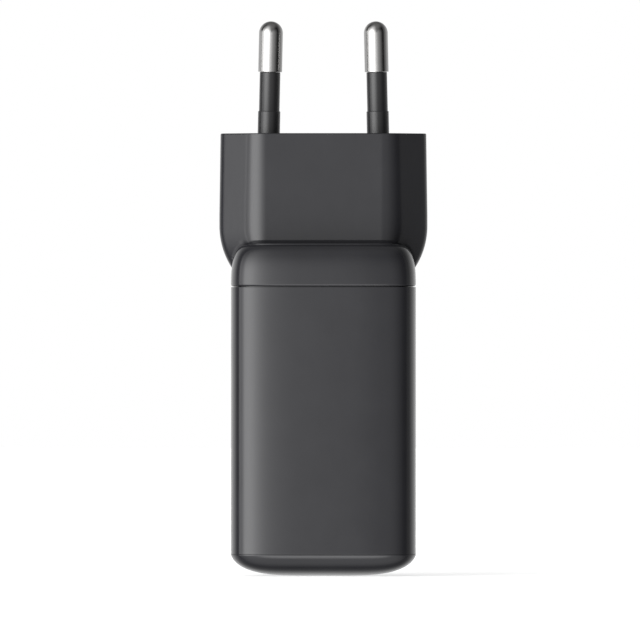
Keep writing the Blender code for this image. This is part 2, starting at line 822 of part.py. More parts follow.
def make_transformer_cores(parts):
    """Two E-shaped ferrites whose legs meet in the middle."""
    half = CORE_WIDTH / 2
    top = CORE_HEIGHT / 2
    foot = GAP / 2
    middle = CORE_MIDDLE_LEG / 2
    right = [
        (middle, foot),
        (middle, top - CORE_YOKE),
        (half - CORE_SIDE_LEG, top - CORE_YOKE),
        (half - CORE_SIDE_LEG, foot),
        (half, foot),
        (half, top),
    ]
    corners = right + [(-x, y) for x, y in reversed(right)]
    for place, tilt in (("upper", pi / 2), ("lower", -pi / 2)):
        core = outline(f"transformer_core_{place}", [corners], -CORE_DEPTH / 2, CORE_DEPTH / 2)
        core.rotation_euler = (tilt, 0, 0)
        core.location = CORE_CENTRE
        finish(core, parts, ferrite)


def coil_ring(outward, height):
    """A rounded rectangle that stands off the middle leg by a distance, at a height from the centre."""
    ring = frame_ring(CORE_MIDDLE_LEG / 2 + outward, CORE_DEPTH / 2 + outward, 0.6 * MM + outward / 2, height)
    return [(CORE_CENTRE[0] + x, CORE_CENTRE[1] + y, CORE_CENTRE[2] + z) for x, y, z in ring]


def make_bobbin_and_winding(parts):
    """The bobbin's tube with its two flanges, and the taped winding between them."""
    reach = CORE_HEIGHT / 2 - CORE_YOKE - GAP
    flange = 0.5 * MM
    bore, tube, rim = GAP, GAP + 0.4 * MM, 2.0 * MM
    spool = [
        coil_ring(rim, -reach),
        coil_ring(rim, -reach + flange),
        coil_ring(tube, -reach + flange),
        coil_ring(tube, reach - flange),
        coil_ring(rim, reach - flange),
        coil_ring(rim, reach),
        coil_ring(bore, reach),
        coil_ring(bore, -reach),
    ]
    finish(loft("transformer_bobbin", spool, closed=True), parts, carrier_plastic)
    wound = reach - flange - GAP
    inner, outer = tube + GAP, rim - 0.1 * MM
    winding = [
        coil_ring(outer, -wound),
        coil_ring(outer, wound),
        coil_ring(inner, wound),
        coil_ring(inner, -wound),
    ]
    finish(loft("transformer_winding", winding, closed=True), parts, transformer_tape)


def make_insulation_sheet(parts):
    piece = box("insulation_sheet", (0.35 * MM, 16.8 * MM, 16.4 * MM), (2.2 * MM, -1.6 * MM, 25.7 * MM))
    finish(piece, parts, insulating_paper)


def make_heat_spreaders(parts):
    """Aluminium plates along the front and the back, and the pad between transformer and front plate."""
    size = (21.6 * MM, SPREADER_THICKNESS, 36.0 * MM)
    for side, place in ((-1, "front"), (1, "rear")):
        centre = (0, side * (SPREADER_INNER + SPREADER_THICKNESS / 2), 27.0 * MM)
        finish(box(f"heat_spreader_{place}", size, centre), parts, spreader_aluminium)
    near = CORE_CENTRE[1] - CORE_DEPTH / 2 - 2.0 * MM - GAP
    far = -SPREADER_INNER + GAP
    pad = box(
        "thermal_pad_front",
        (11.0 * MM, near - far, 10.0 * MM),
        (CORE_CENTRE[0], (near + far) / 2, CORE_CENTRE[2]),
        bevel=0.4 * MM,
    )
    finish(pad, parts, thermal_silicone)


# ---------------------------------------------------------------- assembly

def build():
    clear_scene()
    parts = new_collection("usb_wall_charger")
    cutters = new_collection("cutters")

    make_housing_sleeve(parts)
    make_port_panel(parts, cutters)
    make_plug_cap(parts, cutters)

    for side, place in ((-1, "left"), (1, "right")):
        make_pin(parts, side, place)
        make_pin_sleeve(parts, side, place)
        make_contact_strip(parts, side, place)
    make_lead_wire(parts, -1, "left", wire_brown)
    make_lead_wire(parts, 1, "right", wire_blue)
    make_pin_carrier(parts, cutters)

    make_main_board(parts)
    make_input_parts(parts)
    make_choke(parts)
    make_bulk_capacitors(parts)
    make_board_back_parts(parts)
    make_y_capacitor(parts)
    make_transformer_cores(parts)
    make_bobbin_and_winding(parts)
    make_insulation_sheet(parts)
    make_heat_spreaders(parts)

    make_port_board(parts)
    make_port_board_parts(parts)
    for side, place in ((-1, "front"), (1, "rear")):
        make_port(parts, cutters, side, place)


build()
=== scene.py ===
"""The looks of a slim USB wall charger with a fixed Europlug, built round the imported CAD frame.

Units: metres, and MM turns millimetres into metres. The frame is the CAD's: the origin is the middle of
the flat port end, +Z runs along the plug pins, +X to the right and -Y to the front.
"""

import json
from math import atan2, cos, pi, radians, sin, sqrt, tan

import bmesh
import bpy
from mathutils import Matrix, Vector


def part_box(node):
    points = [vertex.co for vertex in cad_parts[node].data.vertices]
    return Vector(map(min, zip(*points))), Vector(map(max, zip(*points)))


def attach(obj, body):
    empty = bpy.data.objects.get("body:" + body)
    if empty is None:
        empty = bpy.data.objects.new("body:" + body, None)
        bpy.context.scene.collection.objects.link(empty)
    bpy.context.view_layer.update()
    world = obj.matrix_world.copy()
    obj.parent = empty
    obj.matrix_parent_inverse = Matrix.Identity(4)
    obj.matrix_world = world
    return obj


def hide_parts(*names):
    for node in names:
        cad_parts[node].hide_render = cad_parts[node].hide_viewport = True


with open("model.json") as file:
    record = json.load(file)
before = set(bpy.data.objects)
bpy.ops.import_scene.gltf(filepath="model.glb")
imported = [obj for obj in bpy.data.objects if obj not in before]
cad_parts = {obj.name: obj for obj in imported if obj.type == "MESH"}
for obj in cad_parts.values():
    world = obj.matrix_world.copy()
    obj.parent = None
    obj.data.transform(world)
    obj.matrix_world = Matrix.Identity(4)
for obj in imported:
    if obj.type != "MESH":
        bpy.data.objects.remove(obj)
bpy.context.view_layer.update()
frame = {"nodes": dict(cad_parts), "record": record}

MM = 0.001
BODY = "root"  # the only CAD body: nothing on this charger moves
SIDES = ((-1, "left"), (1, "right"))  # the two pins: side of the centre plane, and name
OUTLETS = ((-1, "front"), (1, "rear"))  # and the two outlets

# ---------------------------------------------------------------- sizes read from the frame

HOUSING_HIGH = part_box("housing_sleeve")[1]
CAP_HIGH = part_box("plug_cap")[1]
BODY_X = HOUSING_HIGH.x  # half the housing's width
BODY_Y = HOUSING_HIGH.y  # and half its depth
HEAD_X = CAP_HIGH.x  # half the plug head's greatest width
PLUG_FACE = CAP_HIGH.z  # the engagement face that meets the wall outlet
PORT_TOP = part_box("port_shell_front")[1].z  # the inner end of an outlet

# ---------------------------------------------------------------- sizes repeated from the CAD

BODY_SQUARENESS = 6.5  # exponent of the housing's superellipse section
WALL = 1.8 * MM
CLEARANCE = 0.3 * MM
SKIRT_WALL = 1.2 * MM  # the locating rings of both ends, inside the housing
SKIRT_DEPTH = 2.6 * MM
PANEL_SEAM = 3.4 * MM  # the lower joint line, before LOWER_LIFT
CAP_SEAM = 49.25 * MM  # the upper one, before UPPER_DROP
CAP_TOP = 56.4 * MM
CAP_CORNER = 3.2 * MM  # how far the cap's round shoulder would draw in by its top
FACE_WALL = 2.0 * MM  # behind the engagement face

HEAD_DRAFT = 0.2 * MM  # how much wider each side gets towards the shoulders
HEAD_DRAFT_HEIGHT = 14.0 * MM
HEAD_HALF_DEPTH = 6.85 * MM
HEAD_FLAT = 9.87 * MM  # half the width of the flat front
HEAD_END_FLAT = 1.09 * MM  # where the 45 degree side meets the end, from the centre plane
HEAD_LEAST_CORNER = 0.8 * MM  # the least run of the front corner's rounding along the flat
SHOULDER_DROP = 15.75 * MM  # from the engagement face to where the shoulders start
SHOULDER_RADIUS = 13.0 * MM

PIN_SPACING = 18.6 * MM
PIN_TIP_SPACING = 17.75 * MM
PIN_LENGTH = 19.1 * MM
PIN_SHANK_RADIUS = 1.0 * MM
PIN_BACK = 10.2 * MM  # how far a pin runs in behind the engagement face
SLEEVE_BACK = 7.0 * MM  # and how far its sleeve does
COLLAR_HEIGHT = 3.8 * MM

PORT_SPREAD = 3.4 * MM  # each outlet's distance from the centre plane
PORT_X = 4.47 * MM  # half the width of an outlet's shell
PORT_Y = 1.63 * MM  # and half its height
PORT_SHELL_WALL = 0.35 * MM
PORT_RECESS = 0.4 * MM
TONGUE_TIP = 1.3 * MM
TONGUE_BASE = 6.4 * MM
TONGUE_X = 3.345 * MM
TONGUE_Y = 0.35 * MM

# ---------------------------------------------------------------- sizes a little finer than the CAD's

CAP_SQUARENESS = 2.75  # exponent of the cap's shoulder, which is 2.5 in the CAD
HEAD_END_RADIUS = 2.2 * MM  # CAD: 1.3 mm
PIN_RADIUS = 2.03 * MM  # CAD: 2.0 mm
PIN_METAL_LENGTH = 8.6 * MM  # CAD: 8.5 mm
SLEEVE_RADIUS = 1.75 * MM  # CAD: 1.63 mm
COLLAR_RADIUS = 1.89 * MM  # CAD: 1.85 mm

# ---------------------------------------------------------------- fine detail that the CAD leaves out

CROWN = 0.02  # how much the front and back faces bulge, as a share of the half depth
UPPER_GAP = 0.11 * MM  # the visible joint line under the end cap
UPPER_DROP = 0.12 * MM  # which stands this far below CAP_SEAM
LOWER_GAP = 0.03 * MM  # and the tighter one above the port end
LOWER_LIFT = 0.3 * MM  # the port end's rim stands this far above the start of its curve
END_RISE = 4.4 * MM  # the port end is slightly crowned, and turns up into the sides:
END_REACH = 15.85 * MM  # z = rise * (1 - sqrt(1 - (x / reach)^4))
END_FLAT = 4.6 * MM  # half the width of its flat middle
CAP_ROUND = 0.34 * MM  # rounding of the cap's lower edge
SEAM_ROUND = 0.07 * MM  # rounding of the other edges at the joint lines
LIP_DEPTH = 0.5 * MM  # the joints are stepped: a lip this far in closes each gap
LIP_REACH = 0.9  # nearly all the way across it
PANEL_POCKET = 6.2 * MM  # how far in the hollow behind the port end has its floor
MOUTH_ROUND = 0.2 * MM  # rounding of an outlet's opening
CAP_RISE = 7.1 * MM  # height of the superellipse that rounds the cap's shoulder, from CAP_SEAM
EDGE_INSET = 2.2 * MM  # the shoulder ends this far in, in a low step that catches a line of light
EDGE_RISE = 0.22 * MM
EDGE_ROUND = 0.16 * MM
EDGE_RUN = 2.6 * MM  # the step runs out over this length at its ends
GROOVE_HEIGHT = 0.46 * MM  # the undercut that makes a shadow line round the plug head's foot
GROOVE_DEPTH = 0.24 * MM
FACE_ROUND = 0.2 * MM  # rounding of the engagement face's edge
HEAD_SINK = 1.5 * MM  # the head's solid starts this far above CAP_SEAM, inside the cap
HEAD_THROAT = 4.0 * MM  # its hollow has a section this far below the start of the shoulders
BORE_ROOM = 0.05 * MM  # between a collar and its bore
SLEEVE_ROOM = 0.02 * MM  # between a sleeve and its pin's shank
PIN_EDGE = 0.03 * MM  # rounding of the lower edge of a pin's metal
SLEEVE_EDGE = 0.12 * MM  # and of the upper edges of a sleeve and its collar
SLEEVE_GAP = 0.05 * MM  # from the top of a sleeve to the metal
FLANGE_HEIGHT = 1.0 * MM  # the riveted back end of a pin
FLANGE_RADIUS = 1.7 * MM
TONGUE_ROOM = 0.02 * MM  # between an outlet's insulator and its shell
TONGUE_EDGE = 0.1 * MM
CONTACTS = 12  # on each face of a tongue
CONTACT_PITCH = 0.5 * MM
CONTACT_WIDTH = 0.27 * MM
CONTACT_HEIGHT = 0.04 * MM  # half the thickness of a strip, which is half sunk into the tongue
CONTACT_EDGE = 0.012 * MM
LONG_CONTACTS = (0, 3, 8, 11)  # ground and power
LONG_START = 0.35 * MM  # where they start, from the tongue's tip
SHORT_START = 0.6 * MM  # and where the others do
SUPPORT = 0.25 * MM  # rows and columns this close to a rounding keep the flat beside it flat
OVERLAP = 1.0 * MM  # how far shapes that are joined or cut run into each other
SECTION_POINTS = 256  # round the housing
ROUND_POINTS = 96  # round a turned piece
CREASE = 35.0  # in degrees: the least angle that shades as an edge


# ---------------------------------------------------------------- meshes

def link(piece):
    bpy.context.scene.collection.objects.link(piece)
    return piece


def to_object(name, builder):
    """Turns a bmesh into a linked object with its faces pointing out, smooth up to the crease angle."""
    bmesh.ops.recalc_face_normals(builder, faces=builder.faces)
    mesh = bpy.data.meshes.new(name)
    builder.to_mesh(mesh)
    builder.free()
    mesh.shade_smooth()
    mesh.set_sharp_from_angle(angle=radians(CREASE))
    return link(bpy.data.objects.new(name, mesh))


def skin(name, rings, closed=False):
    """Skins rings that have the same number of points. Closed joins the last ring to the first."""
    builder = bmesh.new()
    rows = [[builder.verts.new(point) for point in ring] for ring in rings]
    pairs = list(zip(rows, rows[1:]))
    if closed:
        pairs.append((rows[-1], rows[0]))
    for low, high in pairs:
        for i in range(len(low)):
            j = (i + 1) % len(low)
            builder.faces.new((low[i], low[j], high[j], high[i]))
    if not closed:
        builder.faces.new(list(reversed(rows[0])))
        builder.faces.new(rows[-1])
    return to_object(name, builder)


def turned(name, profile, closed=False):
    """Turns (radius, height) points about Z. A point with no radius is a pole."""
    builder = bmesh.new()
    angles = [2 * pi * i / ROUND_POINTS for i in range(ROUND_POINTS)]
    rows = []
    for radius, height in profile:
        if radius == 0.0:
            rows.append([builder.verts.new((0.0, 0.0, height))] * ROUND_POINTS)
            continue
        rows.append([builder.verts.new((radius * cos(a), radius * sin(a), height)) for a in angles])
    pairs = list(zip(rows, rows[1:]))
    if closed:
        pairs.append((rows[-1], rows[0]))
    for low, high in pairs:
        for i in range(ROUND_POINTS):
            j = (i + 1) % ROUND_POINTS
            corners = [low[i], low[j], high[j], high[i]]
            builder.faces.new([c for k, c in enumerate(corners) if c not in corners[:k]])
    return to_object(name, builder)


def keep_normals(piece):
    """Stores a mesh's smooth corner normals where a Boolean carries them along."""
    mesh = piece.data
    stored = mesh.attributes.new("shade_normal", "FLOAT_VECTOR", "CORNER")
    for corner, normal in zip(stored.data, mesh.corner_normals):
        corner.vector = normal.vector


def carve(piece, steps):
    """Joins or cuts other solids, so that every surface keeps the smooth normals of its source."""
    for solid in [piece] + [tool for _, tool in steps]:
        keep_normals(solid)
    for operation, tool in steps:
        step = piece.modifiers.new(operation.lower(), "BOOLEAN")
        step.operation = operation
        step.object = tool
        step.solver = "EXACT"
    graph = bpy.context.evaluated_depsgraph_get()
    mesh = bpy.data.meshes.new_from_object(piece.evaluated_get(graph))
    piece.modifiers.clear()
    piece.data = mesh
    for _, tool in steps:
        bpy.data.objects.remove(tool, do_unlink=True)
    stored = mesh.attributes["shade_normal"]
    normals = [Vector(corner.vector) for corner in stored.data]
    for face in mesh.polygons:
        for i in face.loop_indices:
            if normals[i].length < 0.5:  # the Boolean stored none here
                normals[i] = face.normal.copy()
            elif normals[i].dot(face.normal) < 0:
                normals[i].negate()
            normals[i].normalize()
    mesh.attributes.remove(stored)
    mesh.normals_split_custom_set(normals)
    return piece


# ---------------------------------------------------------------- sections

def superellipse(half_x, half_y):
    """Points of |x/a|^n + |y/b|^n = 1 with a slight crown, counter-clockwise."""
    points = []
    for i in range(SECTION_POINTS):
        angle = 2 * pi * i / SECTION_POINTS
        c, s = cos(angle), sin(angle)
        across = abs(c) ** (2 / BODY_SQUARENESS) * (1 if c > 0 else -1)
        along = abs(s) ** (2 / BODY_SQUARENESS) * (1 if s > 0 else -1)
        points.append((half_x * across, half_y * along * (1 - CROWN * across**2)))
    return points


def body_ring(inset, height):
    return [(x, y, height) for x, y in superellipse(BODY_X - inset, BODY_Y - inset)]


def stadium_ring(half_x, half_y, height, centre_y, steps=16):
    """A slot outline with round ends, long side along X."""
    reach = half_x - half_y
    ring = []
    for side, start in ((1, -pi / 2), (-1, pi / 2)):
        for step in range(steps + 1):
            angle = start + pi * step / steps
            ring.append((side * reach + half_y * cos(angle), centre_y + half_y * sin(angle), height))
    return ring


def cap_inset(height):
    """How far the cap's side has drawn in at a height above the seam."""
    rise = min(height / CAP_RISE, 1.0)
    return CAP_CORNER * (1 - (1 - rise**CAP_SQUARENESS) ** (1 / CAP_SQUARENESS))


def head_half_width(height):
    """Half the plug head's width: slightly drafted, then two round shoulders."""
    below_face = PLUG_FACE - height
    if below_face <= SHOULDER_DROP:
        return HEAD_X - HEAD_DRAFT * max(1 - below_face / HEAD_DRAFT_HEIGHT, 0.0)
    drop = below_face - SHOULDER_DROP
    return HEAD_X - SHOULDER_RADIUS + sqrt(SHOULDER_RADIUS**2 - drop**2)


def head_ring(height, inset=0.0):
    """The head's six-sided Europlug section: flat faces, 45 degree sides, narrow rounded ends."""
    half_turn = tan(pi / 8)
    half_depth = HEAD_HALF_DEPTH - inset
    end_x = head_half_width(height) - inset
    end_y = HEAD_END_FLAT - inset * (sqrt(2) - 1)
    corner_x = end_x + end_y - half_depth
    flat_x = min(HEAD_FLAT, corner_x + inset * half_turn - HEAD_LEAST_CORNER)
    big = (corner_x - flat_x) / half_turn
    small = HEAD_END_RADIUS - inset
    quarter = []
    end_steps, facet_steps, corner_steps = 8, 14, 14
    for step in range(end_steps + 1):
        angle = step / end_steps * pi / 4
        quarter.append((end_x - small + small * cos(angle), end_y - small * half_turn + small * sin(angle)))
    side = []
    for step in range(corner_steps + 1):
        angle = pi / 4 + step / corner_steps * pi / 4
        side.append((flat_x + big * cos(angle), half_depth - big + big * sin(angle)))
    start, end = Vector(quarter[-1]), Vector(side[0])
    facet = [tuple(start.lerp(end, step / facet_steps)) for step in range(1, facet_steps)]
    quarter += facet + side + [(flat_x - SUPPORT, half_depth)]
    left_top = [(-x, y) for x, y in reversed(quarter)]
    left_low = [(-x, -y) for x, y in quarter]
    right_low = [(x, -y) for x, y in reversed(quarter)]
    return [(x, y, height) for x, y in quarter + left_top + left_low + right_low]


def cap_outline(x):
    """How high the cap reaches at a distance from its middle, seen from the front."""
    drawn_in = min(max(BODY_X - abs(x), 0.0), EDGE_INSET) / CAP_CORNER
    rise = (1 - (1 - drawn_in) ** CAP_SQUARENESS) ** (1 / CAP_SQUARENESS)
    return CAP_SEAM + rise * CAP_RISE


def edge_height(x):
    """How high the step along the cap's top edge is at a distance from its middle."""
    share = min(max((BODY_X - EDGE_INSET - abs(x)) / EDGE_RUN, 0.0), 1.0)
    return EDGE_RISE * share * share * (3 - 2 * share)


def edge_ring(inset, rise):
    """A ring round the step, inset from the cap's round shoulder."""
    ring = body_ring(EDGE_INSET + inset, cap_outline(0.0))
    return [(x, y, z + edge_height(x) * rise / EDGE_RISE) for x, y, z in ring]


def undercut(ring):
    """Draws the head in just above the cap, which leaves a shadow line that follows the cap's outline."""
    points = []
    for x, y, z in ring:
        above = (z - edge_height(x) - cap_outline(x)) / GROOVE_HEIGHT
        depth = GROOVE_DEPTH * min(max(1 - above, 0.0), 1.0)
        points.append((x, y * (1 - depth / HEAD_HALF_DEPTH), z))
    return points


def rounding(radius, steps=5):
    """(inset, drop) pairs of a quarter round, from the side surface to the end surface."""
    angles = [step / steps * pi / 2 for step in range(steps + 1)]
    return [(radius * (1 - cos(a)), radius * (1 - sin(a))) for a in angles]


def flare(radius, steps=5):
    """(outset, rise) pairs of the quarter round that opens a mouth, from its rim inwards."""
    angles = [step / steps * pi / 2 for step in range(steps + 1)]
    return [(radius * (1 - sin(a)), radius * cos(a)) for a in angles]


# ---------------------------------------------------------------- the three mouldings

def skirt(name, low, high):
    """A locating ring that fits inside the housing with clearance."""
    outer = WALL + CLEARANCE
    inner = outer + SKIRT_WALL
    rings = [body_ring(outer, low), body_ring(outer, high), body_ring(inner, high), body_ring(inner, low)]
    return skin(name, rings, closed=True)


def make_housing():
    low = PANEL_SEAM + LOWER_LIFT + LOWER_GAP / 2
    high = CAP_SEAM - UPPER_DROP - UPPER_GAP / 2
    foot = [(inset, low + drop) for inset, drop in reversed(rounding(SEAM_ROUND))]
    head = [(inset, high - drop) for inset, drop in rounding(SEAM_ROUND)]
    outer = foot + [(0.0, low + SEAM_ROUND + SUPPORT), (0.0, high - SEAM_ROUND - SUPPORT)] + head
    upper_lip = high + UPPER_GAP * LIP_REACH
    lower_lip = low - LOWER_GAP * LIP_REACH
    inner = [(LIP_DEPTH, high), (LIP_DEPTH, upper_lip), (WALL, upper_lip)]
    inner += [(WALL, lower_lip), (LIP_DEPTH, lower_lip), (LIP_DEPTH, low)]
    rings = [body_ring(inset, height) for inset, height in outer + inner]
    return skin("housing_shell", rings, closed=True)


def make_port_end():
    """The rounded port end: crowned in profile, hollow behind, with two softened outlet openings."""
    top = PANEL_SEAM + LOWER_LIFT - LOWER_GAP / 2
    count = 40
    rings = [body_ring(BODY_X - END_FLAT, 0.0)]
    for step in range(1, count + 1):
        x = END_FLAT + (BODY_X - END_FLAT) * sin(step / count * pi / 2)
        height = END_RISE * (1 - sqrt(1 - (x / END_REACH) ** 4))
        rings.append(body_ring(BODY_X - x, height))
    rings.append(body_ring(0.0, top))
    panel = skin("port_end", rings)
    skirt_top = top + SKIRT_DEPTH
    inner = WALL + CLEARANCE + SKIRT_WALL
    pocket = [body_ring(PANEL_POCKET, WALL), body_ring(inner, top), body_ring(inner, skirt_top + OVERLAP)]
    steps = [("UNION", skirt("skirt", top - OVERLAP, skirt_top)), ("DIFFERENCE", skin("pocket", pocket))]
    half_x, half_y = PORT_X + CLEARANCE / 2, PORT_Y + CLEARANCE / 2
    mouth = [(MOUTH_ROUND + OVERLAP, -OVERLAP)]
    mouth += [(out, MOUTH_ROUND - rise) for out, rise in flare(MOUTH_ROUND)]
    mouth += [(0.0, WALL + OVERLAP)]
    for side, place in OUTLETS:
        rings = [stadium_ring(half_x + out, half_y + out, z, side * PORT_SPREAD) for out, z in mouth]
        steps.append(("DIFFERENCE", skin(f"mouth_{place}", rings)))
    return carve(panel, steps)


def cap_solid(low):
    """The end cap: a rounded lower edge, a round shoulder and a low step along its top edge."""
    rings = [body_ring(inset, low + drop) for inset, drop in reversed(rounding(CAP_ROUND))]
    first = low + CAP_ROUND + SUPPORT - CAP_SEAM
    count = 30
    for step in range(1, count + 1):
        height = CAP_RISE * sin(step / count * pi / 2) ** (2 / CAP_SQUARENESS)
        if height > first and cap_inset(height) < EDGE_INSET:
            rings.append(body_ring(cap_inset(height), CAP_SEAM + height))
    rings += [edge_ring(inset, EDGE_RISE - drop) for inset, drop in rounding(EDGE_ROUND)]
    rings += [edge_ring(EDGE_RUN * share, EDGE_RISE) for share in (0.2, 0.4, 0.6, 0.8, 1.0)]
    return skin("plug_cap_shell", rings)


def head_solid():
    """The Europlug head, with the undercut round its foot."""
    low = CAP_SEAM + HEAD_SINK
    shoulder = PLUG_FACE - SHOULDER_DROP
    groove_top = cap_outline(0.0) + EDGE_RISE + GROOVE_HEIGHT
    foot_steps, neck_steps = 60, 12
    heights = [low + (CAP_TOP - low) * step / foot_steps for step in range(foot_steps + 1)]
    rings = [undercut(head_ring(height)) for height in heights]
    heights = [groove_top + (shoulder - groove_top) * step / neck_steps for step in range(neck_steps)]
    heights += [shoulder, PLUG_FACE - HEAD_DRAFT_HEIGHT, PLUG_FACE - FACE_ROUND - SUPPORT]
    rings += [head_ring(height) for height in heights]
    rings += [head_ring(PLUG_FACE - drop, inset) for inset, drop in rounding(FACE_ROUND)]
    rings.append(head_ring(PLUG_FACE, FACE_ROUND + SUPPORT))
    return skin("head", rings)


def make_cap_and_head():
    """The end cap and the plug head: one hollow moulding with a bored engagement face."""
    low = CAP_SEAM - UPPER_DROP + UPPER_GAP / 2
    cap = cap_solid(low)
    inner = WALL + CLEARANCE + SKIRT_WALL
    ceiling = CAP_TOP - CAP_SEAM - WALL
    cavity = [body_ring(inner, low - SKIRT_DEPTH - OVERLAP), body_ring(inner, low)]
    for share in (0.4, 0.7, 0.88, 1.0):
        cavity.append(body_ring(inner + cap_inset(ceiling * share), CAP_SEAM + ceiling * share))
    shoulder = PLUG_FACE - SHOULDER_DROP
    hollow_heights = [CAP_SEAM + HEAD_SINK + WALL, shoulder - HEAD_THROAT, shoulder, PLUG_FACE - FACE_WALL]
    steps = [
        ("UNION", head_solid()),
        ("UNION", skirt("skirt", low - SKIRT_DEPTH, low + OVERLAP)),
        ("DIFFERENCE", skin("cavity", cavity)),
        ("DIFFERENCE", skin("head_cavity", [head_ring(height, WALL) for height in hollow_heights])),
    ]
    radius, top, bottom = COLLAR_RADIUS + BORE_ROOM, OVERLAP, -FACE_WALL - OVERLAP
    for side, place in SIDES:
        bore = turned(f"bore_{place}", [(0.0, top), (radius, top), (radius, bottom), (0.0, bottom)])
        bore.matrix_world = pin_place(side)
        steps.append(("DIFFERENCE", bore))
    return carve(cap, steps)


# ---------------------------------------------------------------- the plug's contacts

def pin_place(side):
    """The frame of a pin: its origin on the engagement face, and Z along its axis, which leans inwards."""
    lean = atan2((PIN_SPACING - PIN_TIP_SPACING) / 2, PIN_LENGTH)
    foot = Matrix.Translation((side * PIN_SPACING / 2, 0.0, PLUG_FACE))
    return foot @ Matrix.Rotation(-side * lean, 4, "Y")


def make_pin(side, place):
    """A turned pin: domed tip, bare contact length with a softened shoulder, thin shank, riveted back."""
    shoulder = PIN_LENGTH - PIN_METAL_LENGTH
    profile = [(0.0, PIN_LENGTH)]
    count = 22
    for step in range(1, count + 1):
        angle = step / count * pi / 2
        profile.append((PIN_RADIUS * sin(angle), PIN_LENGTH - PIN_RADIUS * (1 - cos(angle))))
    profile.append((PIN_RADIUS, shoulder + PIN_EDGE + SUPPORT))
    profile += [(PIN_RADIUS - inset, shoulder + drop) for inset, drop in rounding(PIN_EDGE)]
    profile += [
        (PIN_SHANK_RADIUS, shoulder),
        (PIN_SHANK_RADIUS, FLANGE_HEIGHT - PIN_BACK),
        (FLANGE_RADIUS, FLANGE_HEIGHT - PIN_BACK),
        (FLANGE_RADIUS, -PIN_BACK),
        (0.0, -PIN_BACK),
    ]
    pin = turned(f"contact_pin_{place}", profile)
    pin.matrix_world = pin_place(side)
    return pin


def make_sleeve(side, place):
    """The insulating sleeve, with a thicker collar that runs down into the plug head."""
    bore = PIN_SHANK_RADIUS + SLEEVE_ROOM
    top = PIN_LENGTH - PIN_METAL_LENGTH - SLEEVE_GAP
    profile = [(bore, top)]
    stages = (
        (SLEEVE_RADIUS, top, COLLAR_HEIGHT + SLEEVE_GAP),
        (COLLAR_RADIUS, COLLAR_HEIGHT, -SLEEVE_BACK),
    )
    for radius, height, foot in stages:
        profile += [(radius - inset, height - drop) for inset, drop in reversed(rounding(SLEEVE_EDGE))]
        profile += [(radius, height - SLEEVE_EDGE - SUPPORT), (radius, foot)]
    profile.append((bore, -SLEEVE_BACK))
    sleeve = turned(f"insulating_sleeve_{place}", profile, closed=True)
    sleeve.matrix_world = pin_place(side)
    return sleeve


# ---------------------------------------------------------------- the outlets

def make_port_shell(side, place):
    """The drawn steel shell of a USB-C outlet, with a rolled lip."""
    lip = PORT_SHELL_WALL / 2
    profile = [(0.0, PORT_TOP), (0.0, PORT_RECESS + lip + SUPPORT)]
    count = 8
    for step in range(count + 1):
        angle = step / count * pi
        profile.append((lip * (1 - cos(angle)), PORT_RECESS + lip * (1 - sin(angle))))
    profile += [(PORT_SHELL_WALL, PORT_RECESS + lip + SUPPORT), (PORT_SHELL_WALL, PORT_TOP)]
    rings = [stadium_ring(PORT_X - inset, PORT_Y - inset, z, side * PORT_SPREAD) for inset, z in profile]
    return skin(f"outlet_shell_{place}", rings, closed=True)


def rounded_box(builder, low, high, edge):
    """Adds a box between two corners, with a narrow chamfer round it, to a bmesh."""
    made = bmesh.ops.create_cube(builder, size=1.0)["verts"]
    size = Vector(high) - Vector(low)
    bmesh.ops.scale(builder, vec=size, verts=made)
    bmesh.ops.translate(builder, vec=(Vector(high) + Vector(low)) / 2, verts=made)
    edges = list({edge_of for vert in made for edge_of in vert.link_edges})
    bmesh.ops.bevel(builder, geom=edges, offset=edge, segments=2, profile=0.5, affect="EDGES")


def make_tongue(side, place):
    """The insulator of an outlet: a base that fills the shell and a thin tongue with rounded edges."""
    centre_y = side * PORT_SPREAD
    inset = PORT_SHELL_WALL + TONGUE_ROOM
    rings = [stadium_ring(PORT_X - inset, PORT_Y - inset, z, centre_y) for z in (TONGUE_BASE, PORT_TOP)]
    base = skin(f"outlet_tongue_{place}", rings)
    builder = bmesh.new()
    low = (-TONGUE_X, centre_y - TONGUE_Y, TONGUE_TIP)
    high = (TONGUE_X, centre_y + TONGUE_Y, TONGUE_BASE + OVERLAP)
    rounded_box(builder, low, high, TONGUE_EDGE)
    return carve(base, [("UNION", to_object("tongue", builder))])


def make_contacts(side, place):
    """The gold-plated contact strips on both faces of a tongue; the ground and power pairs are longer."""
    builder = bmesh.new()
    for face in (-1, 1):
        middle_y = side * PORT_SPREAD + face * TONGUE_Y
        for i in range(CONTACTS):
            x = (i - (CONTACTS - 1) / 2) * CONTACT_PITCH
            start = TONGUE_TIP + (LONG_START if i in LONG_CONTACTS else SHORT_START)
            low = (x - CONTACT_WIDTH / 2, middle_y - CONTACT_HEIGHT, start)
            high = (x + CONTACT_WIDTH / 2, middle_y + CONTACT_HEIGHT, TONGUE_BASE - TONGUE_EDGE)
            rounded_box(builder, low, high, CONTACT_EDGE)
    return to_object(f"outlet_contacts_{place}", builder)


# ---------------------------------------------------------------- material nodes

HOUSING_COLOUR = (0.0200, 0.0200, 0.0228)
SLEEVE_COLOUR = (0.020, 0.020, 0.021)
NICKEL_COLOUR = (0.42, 0.415, 0.41)


def add_maths(tree, operation, *values):
    """Adds a Math node. Each value is a number or another node's output."""
    node = tree.nodes.new("ShaderNodeMath")
    node.operation = operation
    for socket, value in zip(node.inputs, values):
        if isinstance(value, (int, float)):
            socket.default_value = value
        else:
            tree.links.new(value, socket)
    return node.outputs[0]


